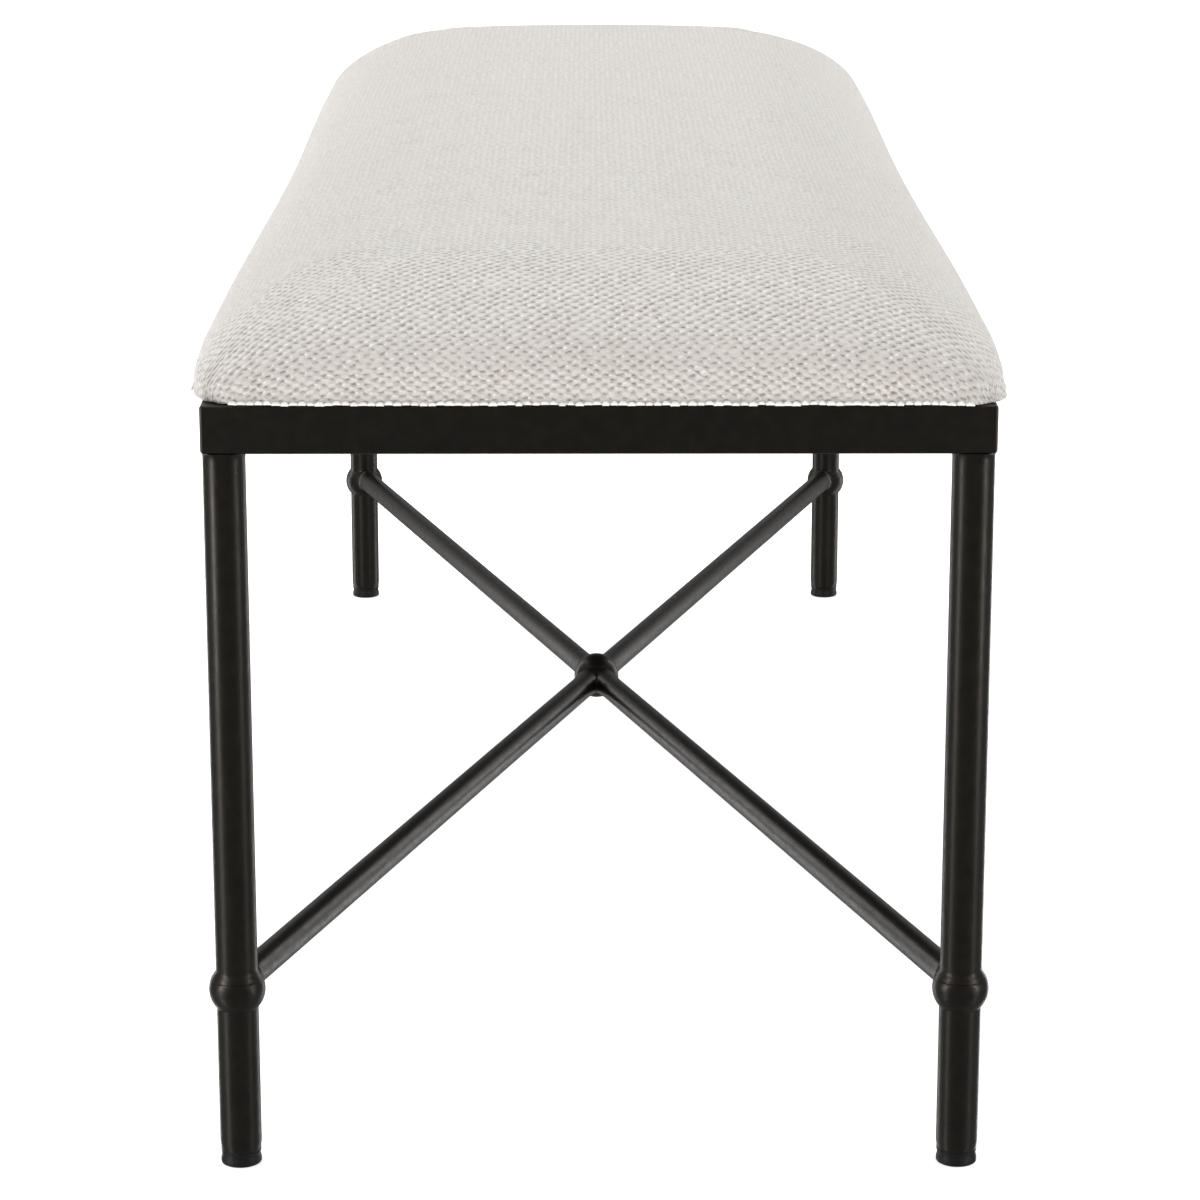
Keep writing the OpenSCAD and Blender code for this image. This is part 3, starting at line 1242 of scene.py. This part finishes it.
@dataclass
class LipYarns:
    """The floats that show as small scallops where the cover turns under, in the cover's yarn painted
    brighter as a highlight.
    """

    pitch: float = 4.4 * MM
    long: float = 4.9 * MM
    high: float = 2.5 * MM
    deep: float = 2.1 * MM
    rise: float = 1.5 * MM
    proud: float = 2.15 * MM
    end_from: float = 0.35
    end_droop: float = 0.22
    sizes: tuple[float, float] = (0.75, 1.12)
    waver: float = 0.35 * MM
    corner_clear: tuple[float, float] = (38 * MM, 22 * MM)
    seed: int = 11

    def float_of_yarn(self) -> bpy.types.Object:
        """Models one float: a plump bead with its ends drawn in and down.

        Returns:
            The float.
        """
        clear_selection()
        bpy.ops.mesh.primitive_uv_sphere_add(
            segments=6, ring_count=5, radius=0.5, rotation=(0, math.pi / 2, 0)
        )
        piece = bpy.context.object
        piece.scale = (self.high, self.deep, self.long)
        settle(piece)
        points = points_of(piece)
        ends = np.abs(points[:, 0]) > self.long * self.end_from
        points[ends, 2] -= self.high * self.end_droop
        points[:, 1] -= self.proud
        put_points(piece, points)
        return piece

    def path(self, lip: np.ndarray) -> bpy.types.Object:
        """Makes a closed path through the lip's points.

        Args:
            lip: the points' places in plan.

        Returns:
            A curve that runs round the lip once, anticlockwise.
        """
        order = np.argsort(np.arctan2(lip[:, 1], lip[:, 0] * lip[:, 1].max() / lip[:, 0].max()))
        curve = bpy.data.curves.new("lip_path", "CURVE")
        curve.dimensions = "3D"
        spline = curve.splines.new("POLY")
        spline.points.add(len(order) - 1)
        for point, (x, y) in zip(spline.points, lip[order]):
            point.co = (x, y, 0, 1)
        spline.use_cyclic_u = True
        path = bpy.data.objects.new("lip_path", curve)
        bpy.context.collection.objects.link(path)
        return path

    def build(self, lip: np.ndarray, lip_z: float) -> None:
        """Sets a row of floats round the lip.

        Args:
            lip: the places in plan of the lip's points.
            lip_z: the lip's height.
        """
        path = self.path(lip)
        length = path.data.splines[0].calc_length()
        count = round(length / self.pitch)
        piece = self.float_of_yarn()
        piece.name = "seat_pad_lip_yarns"
        one = len(piece.data.vertices)
        row = piece.modifiers.new("row", "ARRAY")
        row.use_relative_offset = False
        row.use_constant_offset = True
        row.constant_offset_displace = (length / count, 0, 0)
        row.count = count
        along = piece.modifiers.new("along", "CURVE")
        along.object = path
        along.deform_axis = "POS_X"
        apply_modifiers(piece)
        bpy.data.objects.remove(path)
        rng = np.random.default_rng(self.seed)
        beads = points_of(piece).reshape(count, one, 3)
        middles = beads.mean(axis=1, keepdims=True)
        beads = middles + (beads - middles) * rng.uniform(*self.sizes, (count, 1, 3))
        beads[:, :, 2] += rng.uniform(-self.waver, self.waver, (count, 1)) + lip_z + self.rise
        put_points(piece, beads.reshape(-1, 3))
        corner = np.abs(lip).max(axis=0) - self.corner_clear
        in_corner = (np.abs(middles[:, 0, :2]) > corner).all(axis=1)
        deselect_all(piece, "VERT")
        bpy.ops.object.mode_set(mode="OBJECT")
        piece.data.vertices.foreach_set("select", np.repeat(in_corner, one))
        bpy.ops.object.mode_set(mode="EDIT")
        bpy.ops.mesh.delete(type="VERT")
        bpy.ops.object.mode_set(mode="OBJECT")
        smooth(piece, 180)
        fit_in(piece, Stock.LIP_YARN)


@dataclass
class SeatPad:
    """The upholstered pad: cover, lip yarns, batting and foam."""

    crossings: float = 9 * MM
    roll_extra: float = 40 * MM
    skirt_steps: int = 3
    cover_thick: float = 1.2 * MM
    batting_thick: float = 3.5 * MM
    return_wide: float = 50 * MM
    tuck: float = 3.2 * MM
    pleat_deep: float = 0.9 * MM
    swell: float = 2.5 * MM
    held_high: float = 3.0 * MM
    pressure: float = 4.0
    cloth_mass: float = 0.35
    pull: float = 20.0
    shear: float = 8.0
    bend: float = 2.0
    frames: int = 20
    form: PadForm = field(init=False)

    def __post_init__(self) -> None:
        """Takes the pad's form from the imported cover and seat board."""
        low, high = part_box("seat_cover")
        _, board_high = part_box("seat_board")
        self.form = PadForm(
            half_length=high.x,
            half_width=high.y + 2.6 * MM,
            lip_z=low.z + 0.25 * MM,
            widest_z=board_high.z - 1.5 * MM,
            crown_z=high.z + 1.5 * MM,
        )

    def plan(self, form: PadForm) -> tuple[np.ndarray, np.ndarray]:
        """Returns the plan places of the cover's thread crossings.

        Args:
            form: the form to cover.

        Returns:
            Two arrays, X and Y, over the crossings along and across.
        """
        def spread(half: float, roll: float) -> np.ndarray:
            """Spaces crossings evenly along the surface, so more closely where it rolls over.

            Args:
                half: half the pad's length or width.
                roll: how wide the roll at its edge is.

            Returns:
                The places, from one edge to the other.
            """
            count = round((half + self.roll_extra) / self.crossings)
            fine = np.linspace(0, half, 4000)
            share = np.clip((half - fine) / roll, 0, 1)
            rise = (form.crown_z - form.widest_z) * np.sqrt(1 - (1 - share) ** 2)
            length = np.concatenate([[0], np.cumsum(np.hypot(np.diff(fine), np.diff(rise)))])
            right = np.interp(np.linspace(0, length[-1], count + 1), length, fine)
            return np.concatenate([-right[:0:-1], right])

        x, y = np.meshgrid(
            spread(form.half_length, form.end_roll),
            spread(form.half_width, form.side_roll),
            indexing="ij",
        )
        y = y * form.width_at(x) / form.half_width
        turn_x = form.half_length - form.end_roll
        turn_y = form.half_width - form.side_roll
        ahead = (np.abs(x) - turn_x) / form.end_roll
        aside = (np.abs(y) * form.half_width / form.width_at(x) - turn_y) / form.side_roll
        for i, j in zip(*np.nonzero((ahead > TINY) & (aside > TINY))):
            share = max(ahead[i, j], aside[i, j])
            angle = math.atan2(aside[i, j] * form.side_roll, ahead[i, j] * form.end_roll)
            far = share * form.reach(turn_x, turn_y, angle)
            x[i, j] = math.copysign(turn_x + far * math.cos(angle), x[i, j])
            y[i, j] = math.copysign(turn_y + far * math.sin(angle), y[i, j])
        return x, y

    def sheet(self, name: str, form: PadForm) -> bpy.types.Object:
        """Makes the top of a cover as a grid of its thread crossings.

        Args:
            name: the new object's name.
            form: the form to cover.

        Returns:
            A sheet with a point attribute that holds each crossing's place on the flat cloth.
        """
        x, y = self.plan(form)
        z = form.height(x, y)
        clear_selection()
        bpy.ops.mesh.primitive_grid_add(
            x_subdivisions=x.shape[0] - 1, y_subdivisions=x.shape[1] - 1, size=2
        )
        piece = bpy.context.object
        piece.name = name
        start = points_of(piece)
        i = np.rint((start[:, 0] + 1) / 2 * (x.shape[0] - 1)).astype(int)
        j = np.rint((start[:, 1] + 1) / 2 * (x.shape[1] - 1)).astype(int)
        put_points(piece, np.stack([x[i, j], y[i, j], z[i, j]], axis=1))
        along = self.lengths(x, y, z)
        across = self.lengths(x.T, y.T, z.T).T
        flat = piece.data.attributes.new("flat", "FLOAT_VECTOR", "POINT")
        chart = np.stack([along[i, j], across[i, j], np.zeros(len(i))], axis=1)
        flat.data.foreach_set("vector", chart.astype(np.float32).ravel())
        return piece

    @staticmethod
    def lengths(x: np.ndarray, y: np.ndarray, z: np.ndarray) -> np.ndarray:
        """Returns each crossing's distance along the surface from the middle of its thread.

        Args:
            x: the crossings' X, with their threads along the first axis.
            y: their Y.
            z: their Z.

        Returns:
            The distances, negative before the middle.
        """
        steps = np.sqrt(sum(np.diff(c, axis=0) ** 2 for c in (x, y, z)))
        run = np.concatenate([np.zeros((1, x.shape[1])), np.cumsum(steps, axis=0)])
        return run - run[x.shape[0] // 2]

    def skirt(self, piece: bpy.types.Object, form: PadForm) -> np.ndarray:
        """Extrudes a sheet's edge down to the lip and in under the board.

        Args:
            piece: the sheet.
            form: the form that it covers.

        Returns:
            The places in plan of the lip's points.
        """
        drop = form.widest_z - form.lip_z
        bend = np.radians(np.linspace(0, 90, self.skirt_steps + 1)[1:])
        rings = [(self.tuck * (1 - math.cos(a)), drop * math.sin(a)) for a in bend]
        under = drop + 0.15 * MM
        rings += [(self.tuck + 3 * MM, under), (self.tuck + 16 * MM, under), (self.return_wide, under)]
        deselect_all(piece, "EDGE")
        bpy.ops.mesh.select_non_manifold(extend=False)
        bpy.ops.object.mode_set(mode="OBJECT")
        before = (0.0, 0.0)
        known = self.outwards(points_of(piece)[self.chosen(piece)], form)
        lip = known[0]
        for number, (inward, down) in enumerate(rings):
            bpy.ops.object.mode_set(mode="EDIT")
            bpy.ops.mesh.extrude_edges_move(TRANSFORM_OT_translate={"value": (0, 0, 0)})
            bpy.ops.object.mode_set(mode="OBJECT")
            chosen = self.chosen(piece)
            points = points_of(piece)
            edge = points[chosen]
            normal = known[1][self.match(edge, known)]
            plan = edge[:, :2] - normal * (inward - before[0])
            if number < self.skirt_steps:
                plan = form.squared(plan, 1 / (self.skirt_steps - number))
                plan -= normal * (form.pleats(plan) * self.pleat_deep / self.skirt_steps)[:, None]
            points[chosen] = np.column_stack([plan, edge[:, 2] - (down - before[1])])
            put_points(piece, points)
            self.lengthen(piece, chosen, normal * math.hypot(inward - before[0], down - before[1]))
            known = (plan, normal)
            before = (inward, down)
            if number == self.skirt_steps - 1:
                lip = plan
        return lip

    @staticmethod
    def chosen(piece: bpy.types.Object) -> np.ndarray:
        """Returns which of a piece's vertices are selected.

        Args:
            piece: the piece.

        Returns:
            An array with a true or false for each vertex.
        """
        chosen = np.zeros(len(piece.data.vertices), bool)
        piece.data.vertices.foreach_get("select", chosen)
        return chosen

    @staticmethod
    def lengthen(piece: bpy.types.Object, chosen: np.ndarray, more: np.ndarray) -> None:
        """Moves the flat places of the chosen crossings out, by the length that the cloth grew.

        Args:
            piece: the piece.
            chosen: which of its vertices are chosen.
            more: how far each one moves, in X and Y.
        """
        attribute = piece.data.attributes["flat"].data
        flat = read_rows(attribute, "vector")
        flat[chosen, :2] += more
        attribute.foreach_set("vector", flat.astype(np.float32).ravel())

    @staticmethod
    def match(edge: np.ndarray, known: tuple[np.ndarray, np.ndarray]) -> np.ndarray:
        """Returns, for each point of an edge, the index of the nearest known point."""
        gaps = np.linalg.norm(edge[:, None, :2] - known[0][None, :, :], axis=2)
        return gaps.argmin(axis=1)

    @staticmethod
    def outwards(edge: np.ndarray, form: PadForm) -> tuple[np.ndarray, np.ndarray]:
        """Returns the points of the widest line and their outward directions in plan.

        Args:
            edge: the points, in any order.
            form: the form that they lie on.

        Returns:
            The points in plan, in order round the form, and a direction for each.
        """
        order = np.argsort(np.arctan2(edge[:, 1] * form.half_length, edge[:, 0] * form.half_width))
        ring = edge[order, :2]
        tangent = np.roll(ring, -1, axis=0) - np.roll(ring, 1, axis=0)
        normal = np.column_stack([tangent[:, 1], -tangent[:, 0]])
        return ring, normal / np.linalg.norm(normal, axis=1)[:, None]

    def chart(self, piece: bpy.types.Object) -> None:
        """Turns the crossings' flat places into the UV map that the weave follows.

        Args:
            piece: the sheet.
        """
        mesh = piece.data
        flat = read_rows(mesh.attributes["flat"].data, "vector")
        corners = np.zeros(len(mesh.loops), int)
        mesh.loops.foreach_get("vertex_index", corners)
        for layer in list(mesh.uv_layers):
            mesh.uv_layers.remove(layer)
        layer = mesh.uv_layers.new(name=Weave().thread_map)
        layer.data.foreach_set("uv", flat[corners, :2].astype(np.float32).ravel())
        mesh.attributes.remove(mesh.attributes["flat"])

    def stretch_over(self, piece: bpy.types.Object, form: PadForm) -> None:
        """Lets the cloth settle under the pad's pressure, held along its lip.

        Args:
            piece: the sheet.
            form: the form under it.
        """
        rest = points_of(piece)
        held = piece.vertex_groups.new(name="held")
        for index in np.nonzero(rest[:, 2] < form.lip_z + self.held_high)[0]:
            held.add([int(index)], 1.0, "REPLACE")
        cloth = piece.modifiers.new("cloth", "CLOTH")
        settings = cloth.settings
        settings.quality = 6
        settings.mass = self.cloth_mass
        settings.tension_stiffness = settings.compression_stiffness = self.pull
        settings.shear_stiffness = self.shear
        settings.bending_stiffness = self.bend
        settings.vertex_group_mass = "held"
        settings.use_pressure = True
        settings.uniform_pressure_force = self.pressure
        settings.effector_weights.gravity = 0
        cloth.point_cache.frame_start = 1
        cloth.point_cache.frame_end = self.frames
        scene = bpy.context.scene
        for number in range(1, self.frames + 1):
            scene.frame_set(number)
        settled = piece.evaluated_get(bpy.context.evaluated_depsgraph_get()).to_mesh()
        way = read_rows(settled.vertices, "co") - rest
        piece.modifiers.clear()
        length = np.linalg.norm(way, axis=1)
        capped = np.minimum(length, self.swell) / np.maximum(length, TINY)
        put_points(piece, rest + way * capped[:, None])
        piece.vertex_groups.clear()
        scene.frame_set(1)

    def inner_copy(self, piece: bpy.types.Object, name: str, inset: float) -> bpy.types.Object:
        """Copies the settled cover and draws the copy in along its normals.

        Args:
            piece: the settled cover, still a single sheet.
            name: the copy's name.
            inset: how far in it goes.

        Returns:
            The copy, also a single sheet.
        """
        copy = piece.copy()
        copy.data = piece.data.copy()
        copy.name = name
        bpy.context.collection.objects.link(copy)
        put_points(copy, points_of(copy) - read_rows(copy.data.vertices, "normal") * inset)
        return copy

    def batting(self, settled: bpy.types.Object) -> None:
        """Makes the batting, a soft sheet that follows the cover down past the board.

        Args:
            settled: the settled sheet.
        """
        piece = self.inner_copy(settled, "seat_pad_batting", self.cover_thick + 0.3 * MM)
        cut_back(piece, (0, 0, self.form.lip_z + self.held_high), (0, 0, -1), closed=False)
        solid = piece.modifiers.new("thickness", "SOLIDIFY")
        solid.thickness = self.batting_thick
        solid.offset = -1
        apply_modifiers(piece)
        smooth(piece, 60)
        fit_in(piece, Stock.WADDING, "batting_wrap")

    def foam(self, settled: bpy.types.Object) -> None:
        """Makes the foam, with the same crown and a flat bottom on the board.

        Args:
            settled: the settled sheet.
        """
        inset = self.cover_thick + self.batting_thick + 0.8 * MM
        piece = self.inner_copy(settled, "seat_pad_foam", inset)
        _, board_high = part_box("seat_board")
        cut_back(piece, (0, 0, board_high.z + 0.2 * MM), (0, 0, -1))
        smooth(piece, 60)
        fit_in(piece, Stock.FOAM, "foam_core")

    def cover(self, piece: bpy.types.Object) -> None:
        """Gives the settled sheet its thickness and finish.

        Args:
            piece: the settled sheet.
        """
        self.chart(piece)
        solid = piece.modifiers.new("thickness", "SOLIDIFY")
        solid.thickness = self.cover_thick
        solid.offset = -1
        fine = piece.modifiers.new("fine", "SUBSURF")
        fine.levels = fine.render_levels = 1
        apply_modifiers(piece)
        smooth(piece, 180)
        fit_in(piece, Stock.CLOTH, "seat_cover")

    def build(self) -> None:
        """Makes the pad's pieces from one sheet, settled once."""
        sheet = self.sheet("seat_pad_cover", self.form)
        lip = self.skirt(sheet, self.form)
        self.stretch_over(sheet, self.form)
        self.foam(sheet)
        self.batting(sheet)
        self.cover(sheet)
        LipYarns().build(lip, self.form.lip_z)


# ---------------------------------------------------------------- under the seat


@dataclass
class SeatFixing:
    """What holds the pad on the frame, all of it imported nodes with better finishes."""

    straps: tuple[str, ...] = ("left_cross_strap", "right_cross_strap")
    fasteners: tuple[str, ...] = ("cover_staples", "seat_screws", "seat_washers", "tee_nuts")

    def build(self) -> None:
        """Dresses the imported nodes."""
        plates = [corner.node("plate") for corner in Corner]
        for stock, nodes in (
            (Stock.PAINT, (*plates, *self.straps)),
            (Stock.PLY, ("seat_board",)),
            (Stock.DUST_CLOTH, ("dust_cover",)),
            (Stock.ZINC, self.fasteners),
        ):
            for node in nodes:
                stock.over_node(node)
                LOG.info("%s: packed node, %s", node, stock.name.lower())


# ---------------------------------------------------------------- the studio


class Use(Enum):
    """What a light is for: everything, soft fill alone or highlights on the gloss alone."""

    ALL = "all"
    FILL = "fill"
    GLOSS = "gloss"


@dataclass(frozen=True)
class SoftLight:
    """One rectangular soft light: its place, the point it faces, its size, watts, use and tint."""

    name: str
    place: tuple[float, float, float]
    aim: tuple[float, float, float]
    size: tuple[float, float]
    power: float
    use: Use
    tint: Colour = (1.0, 1.0, 1.0)


@dataclass
class Studio:
    """A pale floor, soft lights and the camera at the bench's right-hand end."""

    floor_radius: float = 5.8
    wall_radius: float = 11.5
    wall_high: float = 24.0
    eye: tuple[float, float, float] = (2.5165, -0.0054, 0.8183)
    look_down: float = 14.80
    look_aside: float = 0.178
    lens: float = 115.07
    sensor: float = 36.0
    room: float = 0.35
    floor_glow: float = 0.62
    floor_drop: float = 0.2 * MM
    soft_lights: tuple[SoftLight, ...] = (
        SoftLight("overhead", (-1.2, -0.6, 5), (-0.8, 0, 0), (6.5, 6.5), 298, Use.ALL, (0.95, 0.98, 1)),
        SoftLight("front_fill", (4, 0, 1.2), (0, 0, 0.4), (2.4, 1.6), 14, Use.FILL, (1, 0.965, 0.91)),
        SoftLight("left_fill", (-0.2, -3.4, 1.3), (0, 0, 0.4), (4, 1.6), 36, Use.FILL),
        SoftLight("right_fill", (-0.2, 3.4, 1.3), (0, 0, 0.4), (4, 1.6), 36, Use.FILL),
        SoftLight("left_strip", (1.07, -1.19, 0.7), (0.6, -0.2, 0.7), (0.14, 1.4), 18, Use.GLOSS),
        SoftLight("left_low_strip", (1.07, -1.19, -0.7), (0.6, -0.2, -0.7), (0.14, 1.4), 4, Use.GLOSS),
        SoftLight("right_strip", (1.07, 1.19, 0.7), (0.6, 0.2, 0.7), (0.14, 1.4), 11, Use.GLOSS),
        SoftLight("right_low_strip", (1.07, 1.19, -0.7), (0.6, 0.2, -0.7), (0.14, 1.4), 1.8, Use.GLOSS),
        SoftLight("left_rear_strip", (-1.07, -1.19, 0), (-0.6, -0.2, 0), (0.2, 2.8), 12, Use.GLOSS),
        SoftLight("right_rear_strip", (-1.07, 1.19, 0), (-0.6, 0.2, 0), (0.2, 2.8), 12, Use.GLOSS),
    )

    @staticmethod
    def paper(name: str, glow: float) -> bpy.types.Object:
        """Turns the mesh just added into a piece of the studio, in glowing paper.

        Args:
            name: its name.
            glow: its own light, as a share of white.

        Returns:
            The piece, which neither casts a shadow nor shows in the gloss.
        """
        piece = settle(bpy.context.object)
        piece.name = name
        grey, pale = (0.92, 0.92, 0.92), (0.94, 0.94, 0.94)
        stuff = Grained(f"{name}_paper", grey, pale, 3.0, rough=0.9, glow=glow)
        piece.data.materials.append(stuff.material())
        piece.visible_glossy = False
        piece.visible_shadow = False
        return piece

    def floor(self) -> None:
        """Lays the round floor, whose edge is as white as the wall behind it."""
        clear_selection()
        bpy.ops.mesh.primitive_circle_add(
            vertices=96, radius=self.floor_radius, fill_type="NGON", location=(0, 0, -self.floor_drop)
        )
        self.paper("floor", self.floor_glow)

    def wall(self) -> None:
        """Stands a round white wall behind the floor, which lights nothing."""
        clear_selection()
        bpy.ops.mesh.primitive_cylinder_add(
            vertices=96, radius=self.wall_radius, depth=self.wall_high, end_fill_type="NOTHING"
        )
        piece = self.paper("wall", 1.0)
        piece.visible_diffuse = False
        smooth(piece, 60)

    @staticmethod
    def soft_light(light: SoftLight) -> None:
        """Hangs one soft light.

        Args:
            light: the light to hang.
        """
        data = bpy.data.lights.new(light.name, "AREA")
        data.shape = "RECTANGLE"
        data.size, data.size_y = light.size
        data.energy = light.power
        data.color = light.tint
        hung = bpy.data.objects.new(light.name, data)
        hung.location = light.place
        way = Vector(light.aim) - Vector(light.place)
        hung.rotation_euler = way.to_track_quat("-Z", "Y").to_euler()
        hung.visible_camera = False
        hung.visible_diffuse = light.use is not Use.GLOSS
        hung.visible_glossy = light.use is not Use.FILL
        bpy.context.collection.objects.link(hung)

    def lights(self) -> None:
        """Hangs the soft lights, in an evenly lit room."""
        for light in self.soft_lights:
            self.soft_light(light)
        world = bpy.data.worlds.new("room")
        world.use_nodes = True
        inputs = world.node_tree.nodes["Background"].inputs
        inputs["Color"].default_value = (1, 1, 1, 1)
        inputs["Strength"].default_value = self.room
        bpy.context.scene.world = world

    def camera(self) -> None:
        """Stands the camera a little above the seat, looking along the bench."""
        data = bpy.data.cameras.new("camera")
        data.lens = self.lens
        data.sensor_width = self.sensor
        data.sensor_fit = "HORIZONTAL"
        data.clip_end = 50
        camera = bpy.data.objects.new("camera", data)
        down, aside = math.radians(self.look_down), math.radians(self.look_aside)
        level = math.cos(down)
        way = Vector((-level * math.cos(aside), level * math.sin(aside), -math.sin(down)))
        camera.location = self.eye
        camera.rotation_euler = way.to_track_quat("-Z", "Y").to_euler()
        bpy.context.collection.objects.link(camera)
        bpy.context.scene.camera = camera

    def build(self) -> None:
        """Sets the scene."""
        self.floor()
        self.wall()
        self.lights()
        self.camera()
        bpy.context.scene.view_settings.view_transform = "Standard"


def main() -> None:
    """Builds the bench and the studio."""
    Studio().build()
    RailFrame().build()
    for corner in Corner:
        Leg(corner).build()
    Stretcher().build()
    SeatPad().build()
    SeatFixing().build()


if __name__ == "__main__":
    main()
